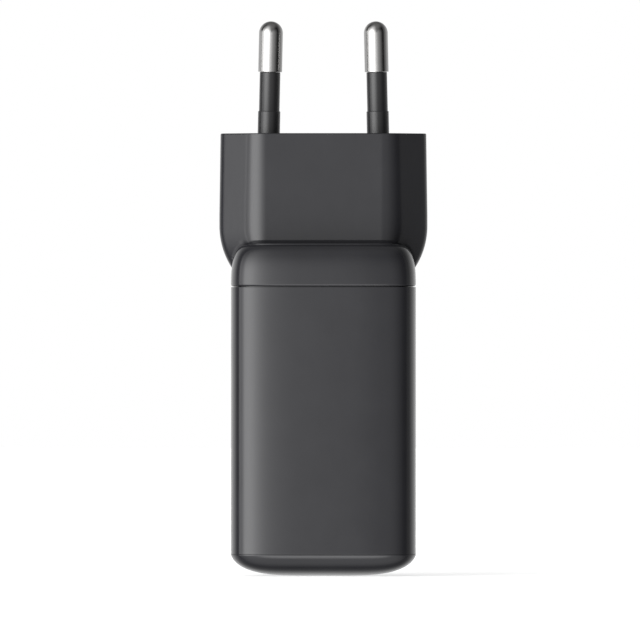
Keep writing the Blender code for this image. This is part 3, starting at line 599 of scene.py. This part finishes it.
class Nodes:
    """A material's node tree, with short ways to add what the finishes below share."""

    def __init__(self, name):
        self.material = bpy.data.materials.new(name)
        self.material.use_nodes = True
        self.tree = self.material.node_tree
        self.shader = self.tree.nodes["Principled BSDF"]
        place = self.add("ShaderNodeTexCoord").outputs["Object"]
        self.millimetres = self.maths_vector("SCALE", place, scale=1 / MM)

    def add(self, kind, **settings):
        node = self.tree.nodes.new(kind)
        for key, value in settings.items():
            setattr(node, key, value)
        return node

    def wire(self, source, socket):
        self.tree.links.new(source, socket)

    def maths_vector(self, operation, source, scale=None, vector=None):
        node = self.add("ShaderNodeVectorMath", operation=operation)
        self.wire(source, node.inputs[0])
        if scale is not None:
            node.inputs["Scale"].default_value = scale
        if vector is not None:
            node.inputs[1].default_value = vector
        return node.outputs["Vector"]

    def maths(self, operation, first, second):
        return add_maths(self.tree, operation, first, second)

    def noise(self, size, detail=3.0, roughness=0.55, stretch=(1, 1, 1)):
        """Noise from 0 to 1 whose features are about size millimetres across, or longer where stretched."""
        place = self.maths_vector("MULTIPLY", self.millimetres, vector=[1 / s for s in stretch])
        node = self.add("ShaderNodeTexNoise")
        node.inputs["Scale"].default_value = 1 / size
        node.inputs["Detail"].default_value = detail
        node.inputs["Roughness"].default_value = roughness
        self.wire(place, node.inputs["Vector"])
        return node.outputs["Fac"]

    def wave(self, size, direction="Z", distortion=0.0):
        """Bands from 0 to 1, size millimetres apart."""
        node = self.add("ShaderNodeTexWave", wave_type="BANDS", bands_direction=direction)
        node.inputs["Scale"].default_value = pi / (10 * size)
        node.inputs["Distortion"].default_value = distortion
        self.wire(self.millimetres, node.inputs["Vector"])
        return node.outputs["Fac"]

    def spread(self, source, low, high, start=0.3, end=0.7):
        """Maps the middle of a pattern's range to low and high."""
        node = self.add("ShaderNodeMapRange")
        for key, value in (("From Min", start), ("From Max", end), ("To Min", low), ("To Max", high)):
            node.inputs[key].default_value = value
        self.wire(source, node.inputs["Value"])
        return node.outputs["Result"]

    def tint(self, source, dark, light, start=0.3, end=0.7):
        """Colours a pattern from dark to light."""
        ramp = self.add("ShaderNodeValToRGB")
        for stop, place, colour in zip(ramp.color_ramp.elements, (start, end), (dark, light)):
            stop.position = place
            stop.color = (*colour, 1.0)
        self.wire(source, ramp.inputs["Fac"])
        return ramp.outputs["Color"]

    def relief(self, source, depth):
        """Bump whose pattern is depth millimetres deep."""
        bump = self.add("ShaderNodeBump")
        bump.inputs["Strength"].default_value = 1.0
        bump.inputs["Distance"].default_value = depth * MM
        self.wire(source, bump.inputs["Height"])
        return bump.outputs["Normal"]

    def finish(self, colour, roughness, normal=None, **constants):
        """Wires the patterns into the shader, and sets other sockets by name, such as coat_weight."""
        for key, source in (("Base Color", colour), ("Roughness", roughness), ("Normal", normal)):
            if source is not None:
                self.wire(source, self.shader.inputs[key])
        for key, value in constants.items():
            self.shader.inputs[key.replace("_", " ").title().replace("Ior", "IOR")].default_value = value
        return self.material


def shade(colour, share):
    return tuple(channel * share for channel in colour)


def moulded(name, colour, low, high, grain=0.16, depth=0.0012, variation=0.06, **constants):
    """Moulded plastic: spark-eroded grain, faint flow clouds in colour and gloss, fine handling marks.

    low and high are the limits of its roughness, and grain and depth the grain's size in millimetres.
    """
    nodes = Nodes(name)
    clouds = nodes.noise(7.0, detail=2.0)
    texture = nodes.noise(grain, detail=2.0, roughness=0.5)
    marks = nodes.noise(0.5, detail=4.0, stretch=(1, 1, 9))
    mixed = nodes.maths("ADD", nodes.maths("MULTIPLY", clouds, 0.5), nodes.maths("MULTIPLY", texture, 0.5))
    tone = nodes.tint(mixed, shade(colour, 1 - variation), shade(colour, 1 + variation), 0.35, 0.65)
    gloss = nodes.maths("ADD", nodes.spread(clouds, low, high), nodes.spread(marks, -0.012, 0.02))
    return nodes.finish(tone, gloss, nodes.relief(texture, depth), **constants)


def housing_plastic():
    return moulded("housing_plastic", HOUSING_COLOUR, 0.16, 0.19, grain=0.14, depth=0.0005)


def sleeve_plastic():
    return moulded("sleeve_plastic", SLEEVE_COLOUR, 0.24, 0.30, grain=0.10, depth=0.0004)


def outlet_plastic():
    return moulded("outlet_plastic", (0.016, 0.016, 0.017), 0.35, 0.45, grain=0.08, depth=0.0006)


def pale_plastic():
    return moulded("pale_plastic", (0.72, 0.71, 0.66), 0.48, 0.60, grain=0.2, depth=0.002)


def metal(name, colour, low, high, streak, depth, size=0.05):
    """Bare or plated metal with fine streaks, depth millimetres deep, along the stretched direction."""
    nodes = Nodes(name)
    streaks = nodes.noise(size, detail=3.0, stretch=streak)
    clouds = nodes.noise(3.0, detail=3.0)
    tone = nodes.tint(clouds, shade(colour, 0.95), colour)
    gloss = nodes.maths("ADD", nodes.spread(clouds, low, high), nodes.spread(streaks, -0.01, 0.015))
    return nodes.finish(tone, gloss, nodes.relief(streaks, depth), metallic=1.0)


def pin_nickel():
    return metal("pin_nickel", NICKEL_COLOUR, 0.19, 0.22, (1, 1, 24), 0.00001, size=0.08)


def shell_steel():
    return metal("shell_steel", (0.62, 0.62, 0.61), 0.20, 0.28, (1, 1, 16), 0.0003)


def contact_gold():
    return metal("contact_gold", (0.95, 0.70, 0.30), 0.14, 0.22, (1, 1, 10), 0.0002)


def strip_brass():
    return metal("strip_brass", (0.78, 0.60, 0.28), 0.24, 0.34, (1, 1, 12), 0.0004)


def plate_aluminium():
    return metal("plate_aluminium", (0.74, 0.75, 0.76), 0.30, 0.42, (1, 1, 20), 0.0005)


def can_aluminium():
    return metal("can_aluminium", (0.70, 0.71, 0.73), 0.22, 0.32, (6, 6, 1), 0.0003)


def board_laminate():
    """Solder mask over a glass weave."""
    nodes = Nodes("board_laminate")
    weave = nodes.maths("MULTIPLY", nodes.wave(0.5, "X"), nodes.wave(0.5, "Z"))
    tone = nodes.tint(weave, (0.012, 0.11, 0.045), (0.022, 0.17, 0.07), 0.1, 0.9)
    gloss = nodes.spread(nodes.noise(2.0), 0.32, 0.46)
    return nodes.finish(tone, gloss, nodes.relief(weave, 0.004))


def chip_epoxy():
    return moulded("chip_epoxy", (0.025, 0.025, 0.028), 0.5, 0.65, grain=0.08, depth=0.003)


def ferrite():
    """Pressed and sintered ceramic: fine pits and a slight sparkle."""
    nodes = Nodes("ferrite")
    pits = nodes.noise(0.12, detail=5.0, roughness=0.7)
    tone = nodes.tint(pits, (0.045, 0.044, 0.046), (0.095, 0.092, 0.095))
    return nodes.finish(tone, nodes.spread(pits, 0.45, 0.65), nodes.relief(pits, 0.01))


def winding_copper():
    """Enamelled wire: bright copper under a clear amber coat."""
    nodes = Nodes("winding_copper")
    patches = nodes.noise(1.2, detail=3.0)
    tone = nodes.tint(patches, (0.62, 0.24, 0.09), (0.86, 0.42, 0.2))
    gloss = nodes.spread(nodes.noise(0.2), 0.25, 0.38)
    return nodes.finish(tone, gloss, metallic=1.0, coat_weight=0.6, coat_roughness=0.08)


def coil_tape():
    """Yellow polyester tape in lapped turns."""
    nodes = Nodes("coil_tape")
    laps = nodes.wave(3.0, "Z", distortion=0.4)
    tone = nodes.tint(laps, (0.72, 0.52, 0.06), (0.9, 0.72, 0.13), 0.05, 0.3)
    gloss = nodes.spread(nodes.noise(1.5), 0.25, 0.4)
    return nodes.finish(tone, gloss, nodes.relief(laps, 0.02))


def dipped(name, colour):
    """A dipped lacquer coat over a ceramic disc: glossy, with orange peel."""
    nodes = Nodes(name)
    peel = nodes.noise(0.6, detail=2.0)
    tone = nodes.tint(nodes.noise(2.5), shade(colour, 0.85), colour)
    return nodes.finish(tone, nodes.spread(peel, 0.22, 0.34), nodes.relief(peel, 0.01))


def printed_can():
    """A shrunk dark sleeve over an aluminium can, with one pale stripe."""
    nodes = Nodes("printed_can")
    stripe = nodes.wave(9.0, "X")
    tone = nodes.tint(stripe, (0.07, 0.06, 0.12), (0.45, 0.45, 0.48), 0.93, 0.96)
    ripple = nodes.noise(1.0, stretch=(1, 1, 5))
    return nodes.finish(tone, nodes.spread(ripple, 0.2, 0.34), nodes.relief(ripple, 0.008))


def pressed_paper():
    """Fibrous insulating card."""
    nodes = Nodes("pressed_paper")
    fibres = nodes.noise(0.15, detail=5.0, stretch=(1, 3, 8))
    tone = nodes.tint(fibres, (0.38, 0.43, 0.39), (0.52, 0.56, 0.5))
    return nodes.finish(tone, nodes.spread(fibres, 0.65, 0.85), nodes.relief(fibres, 0.01))


def thermal_silicone():
    """Soft filled silicone: matte, granular."""
    nodes = Nodes("thermal_silicone")
    grains = nodes.noise(0.2, detail=4.0)
    tone = nodes.tint(grains, (0.34, 0.36, 0.39), (0.48, 0.5, 0.53))
    return nodes.finish(tone, nodes.spread(grains, 0.7, 0.9), nodes.relief(grains, 0.015))


def wire_cover(name, colour):
    """Extruded wire insulation with faint die lines."""
    nodes = Nodes(name)
    lines = nodes.noise(0.12, stretch=(1, 1, 12))
    tone = nodes.tint(lines, shade(colour, 0.88), colour)
    return nodes.finish(tone, nodes.spread(lines, 0.34, 0.46), nodes.relief(lines, 0.003))


def make_finishes():
    """One material for each slot of the record, by the slot's name."""
    return {
        "housing_plastic": housing_plastic(),
        "pin_nickel": pin_nickel(),
        "pin_insulation": sleeve_plastic(),
        "carrier_plastic": pale_plastic(),
        "fuse_ceramic": dipped("fuse_ceramic", (0.80, 0.79, 0.74)),
        "contact_brass": strip_brass(),
        "wire_brown": wire_cover("wire_brown", (0.22, 0.09, 0.03)),
        "wire_blue": wire_cover("wire_blue", (0.03, 0.12, 0.50)),
        "board_laminate": board_laminate(),
        "chip_epoxy": chip_epoxy(),
        "ferrite": ferrite(),
        "winding_copper": winding_copper(),
        "transformer_tape": coil_tape(),
        "capacitor_film": dipped("capacitor_film", (0.86, 0.68, 0.08)),
        "disc_ceramic": dipped("disc_ceramic", (0.05, 0.22, 0.55)),
        "thermistor_coating": dipped("thermistor_coating", (0.06, 0.26, 0.12)),
        "capacitor_can": printed_can(),
        "polymer_can": can_aluminium(),
        "insulating_paper": pressed_paper(),
        "spreader_aluminium": plate_aluminium(),
        "thermal_silicone": thermal_silicone(),
        "port_steel": shell_steel(),
        "port_insulator": outlet_plastic(),
    }


# ---------------------------------------------------------------- assembly

def dress(piece, slot, finish, *nodes):
    """Makes a piece part of the object: its finish, its body and the CAD nodes it stands for, which it
    hides. The slot is not used.
    """
    piece.data.materials.clear()
    piece.data.materials.append(finish)
    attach(piece, BODY)
    if nodes:
        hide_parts(*nodes)


def dress_frame(finishes):
    """Gives each CAD node the finish of its slot."""
    for part in frame["record"]["subparts"]:
        slots = frame["nodes"][part["node"]].material_slots
        for slot in slots:
            slot.material = finishes[part["material_slot"]]


def make_object():
    finishes = make_finishes()
    dress_frame(finishes)
    plastic = finishes["housing_plastic"]
    dress(make_housing(), "housing_plastic", plastic, "housing_sleeve")
    dress(make_port_end(), "housing_plastic", plastic, "port_panel")
    dress(make_cap_and_head(), "housing_plastic", plastic, "plug_cap")
    pins = bpy.data.collections.new("pins")
    for side, place in SIDES:
        pin = make_pin(side, place)
        dress(pin, "pin_nickel", finishes["pin_nickel"], f"pin_{place}")
        pins.objects.link(pin)
        sleeve = make_sleeve(side, place)
        dress(sleeve, "pin_insulation", finishes["pin_insulation"], f"pin_sleeve_{place}")
    gold = contact_gold()
    for side, place in OUTLETS:
        dress(make_port_shell(side, place), "port_steel", finishes["port_steel"], f"port_shell_{place}")
        tongue = make_tongue(side, place)
        dress(tongue, "port_insulator", finishes["port_insulator"], f"port_tongue_{place}")
        dress(make_contacts(side, place), "contact_brass", gold)
    return pins


# ---------------------------------------------------------------- studio

FLOOR_DROP = 0.02 * MM  # the floor lies this far under the port end
FLOOR_HALF = 3.0  # half the side of the floor, in metres
FLOOR_FILL = 2.45  # a lamp for the floor alone: it keeps it white but for a light shade by the charger
# Lamps for the metal of the pins alone: strength, and spread and azimuth in degrees.
PIN_LIGHTS = (
    (0.156, 30.0, -108.0),  # the grey line down the left edge
    (0.038, 18.0, 6.0),  # the soft right edge of the highlight
)
LENS = 1000.0  # a very long lens, as flat as the picture's perspective
SENSOR = 36.0
VIEW_WIDTH = 108.9 * MM  # what the picture spans at the charger
VIEW_CENTRE = (-0.58 * MM, 0.0, 43.47 * MM)
VIEW_REACH = 20.0  # how far the camera sees, in metres

# What the charger sees around it at its own height, as (degrees, brightness), with 0 towards the camera and
# -90 at the picture's left: a tall softbox at the front left that fades to the right, and dimmer reflectors
# behind, on both sides.
ROUND_LIGHT = (
    (-180, 0.80),
    (-135, 0.85),
    (-122, 0.50),
    (-112, 0.05),
    (-95, 0.03),
    (-92, 0.60),
    (-89, 2.90),
    (-85, 1.80),
    (-80, 1.50),
    (-74, 1.80),
    (-67, 2.60),
    (-58, 4.60),
    (-40, 4.95),
    (-30, 4.50),
    (-22, 3.50),
    (-15, 2.60),
    (-9, 1.80),
    (-4, 1.50),
    (0, 0.84),
    (3, 0.62),
    (9, 0.52),
    (18, 0.56),
    (28, 0.48),
    (40, 0.30),
    (52, 0.16),
    (64, 0.02),
    (80, 0.02),
    (90, 0.26),
    (103, 0.30),
    (113, 0.50),
    (128, 0.72),
    (180, 0.75),
)
# How that changes with the height in degrees, from straight down to straight up.
HEIGHT_LIGHT = (
    (-75, 0.00),
    (-55, 0.05),
    (-40, 0.22),
    (-28, 0.60),
    (-18, 0.86),
    (-10, 0.96),
    (0, 1.00),
    (10, 0.98),
    (18, 0.83),
    (29, 0.57),
    (40, 0.37),
    (55, 0.20),
    (70, 0.06),
    (85, 0.00),
)
BRIGHTEST = 5.0  # what the first ramp's white stands for
# Broad lights: azimuth and elevation of the middle, how far from it they start and stop fading, all in
# degrees, and brightness.
BROAD_LIGHTS = (
    (0, 80, 10, 46, 0.25),  # above
    (0, -44, 3, 22, 2.20),  # the lit table in front
    (0, -62, 10, 62, 0.80),  # and below
)


def light_ramp(tree, source, stops, low, high, peak):
    """A colour ramp over a range of degrees, whose white stands for the peak."""
    place = tree.nodes.new("ShaderNodeMapRange")
    place.inputs["From Min"].default_value = radians(low)
    place.inputs["From Max"].default_value = radians(high)
    tree.links.new(source, place.inputs["Value"])
    ramp = tree.nodes.new("ShaderNodeValToRGB")
    elements = ramp.color_ramp.elements
    while len(elements) < len(stops):
        elements.new(0.5)
    for stop, (angle, level) in zip(elements, stops):
        stop.position = (angle - low) / (high - low)
        stop.color = (level / peak,) * 3 + (1.0,)
    tree.links.new(place.outputs["Result"], ramp.inputs["Fac"])
    return ramp.outputs["Color"]


def broad_light(tree, towards, azimuth, elevation, inner, outer, brightness):
    """A round patch of light about one direction, with a soft edge."""
    a, e = radians(azimuth), radians(elevation)
    near = tree.nodes.new("ShaderNodeVectorMath")
    near.operation = "DOT_PRODUCT"
    near.inputs[1].default_value = (sin(a) * cos(e), -cos(a) * cos(e), sin(e))
    tree.links.new(towards, near.inputs[0])
    patch = tree.nodes.new("ShaderNodeMapRange")
    patch.interpolation_type = "SMOOTHSTEP"
    patch.inputs["From Min"].default_value = cos(radians(outer))
    patch.inputs["From Max"].default_value = cos(radians(inner))
    patch.inputs["To Max"].default_value = brightness
    tree.links.new(near.outputs["Value"], patch.inputs["Value"])
    return patch.outputs["Result"]


def make_surroundings():
    """A studio that lights by direction only, and a white backdrop wherever the camera looks."""
    world = bpy.data.worlds.new("studio")
    bpy.context.scene.world = world
    world.use_nodes = True
    tree = world.node_tree
    tree.nodes.clear()

    towards = tree.nodes.new("ShaderNodeTexCoord").outputs["Generated"]
    direction = tree.nodes.new("ShaderNodeSeparateXYZ")
    tree.links.new(towards, direction.inputs[0])
    x, y, z = direction.outputs
    around = add_maths(tree, "ARCTAN2", x, add_maths(tree, "MULTIPLY", y, -1.0))
    sides = light_ramp(tree, around, ROUND_LIGHT, -180, 180, BRIGHTEST)
    fade = light_ramp(tree, add_maths(tree, "ARCSINE", z), HEIGHT_LIGHT, -90, 90, 1.0)
    lit = add_maths(tree, "MULTIPLY", add_maths(tree, "MULTIPLY", sides, fade), BRIGHTEST)
    for light in BROAD_LIGHTS:
        lit = add_maths(tree, "ADD", lit, broad_light(tree, towards, *light))

    studio = tree.nodes.new("ShaderNodeBackground")
    tree.links.new(lit, studio.inputs["Strength"])
    backdrop = tree.nodes.new("ShaderNodeBackground")
    for background in (studio, backdrop):
        background.inputs["Color"].default_value = (1.0, 1.0, 1.0, 1.0)
    choice = tree.nodes.new("ShaderNodeMixShader")
    tree.links.new(tree.nodes.new("ShaderNodeLightPath").outputs["Is Camera Ray"], choice.inputs[0])
    tree.links.new(studio.outputs[0], choice.inputs[1])
    tree.links.new(backdrop.outputs[0], choice.inputs[2])
    output = tree.nodes.new("ShaderNodeOutputWorld")
    tree.links.new(choice.outputs[0], output.inputs["Surface"])


def pale_floor():
    nodes = Nodes("pale_floor")
    mottle = nodes.noise(40.0, detail=2.0)
    tone = nodes.tint(mottle, (0.88, 0.88, 0.88), (0.90, 0.90, 0.90))
    return nodes.finish(tone, nodes.spread(mottle, 0.6, 0.7), specular_ior_level=0.0)


def make_floor():
    """A plain pale floor just under the port end, with a lamp of its own so that it stays white."""
    builder = bmesh.new()
    bmesh.ops.create_grid(builder, x_segments=8, y_segments=8, size=FLOOR_HALF)
    floor = to_object("floor", builder)
    floor.location.z = -FLOOR_DROP
    floor.data.materials.append(pale_floor())
    floor.visible_diffuse = False
    floor.visible_glossy = False
    floor.visible_shadow = False

    only_floor = bpy.data.collections.new("only_floor")
    only_floor.objects.link(floor)
    data = bpy.data.lights.new("floor_fill", "SUN")
    data.energy = FLOOR_FILL
    data.use_shadow = False
    lamp = link(bpy.data.objects.new("floor_fill", data))
    lamp.light_linking.receiver_collection = only_floor


def make_pin_lights(pins):
    """Soft lights that only the metal of the pins sees."""
    for strength, spread, azimuth in PIN_LIGHTS:
        data = bpy.data.lights.new("pin_light", "SUN")
        data.energy = strength
        data.angle = radians(spread)
        lamp = link(bpy.data.objects.new("pin_light", data))
        lamp.rotation_euler = (pi / 2, 0.0, radians(azimuth))
        lamp.light_linking.receiver_collection = pins


def make_camera():
    data = bpy.data.cameras.new("camera")
    data.lens = LENS
    data.sensor_width = SENSOR
    data.clip_end = VIEW_REACH
    camera = link(bpy.data.objects.new("camera", data))
    distance = VIEW_WIDTH * LENS / SENSOR
    camera.location = Vector(VIEW_CENTRE) + Vector((0.0, -distance, 0.0))
    camera.rotation_euler = (pi / 2, 0.0, 0.0)
    bpy.context.scene.camera = camera


make_camera()
make_surroundings()
make_floor()
make_pin_lights(make_object())
bpy.context.scene.view_settings.view_transform = "Standard"
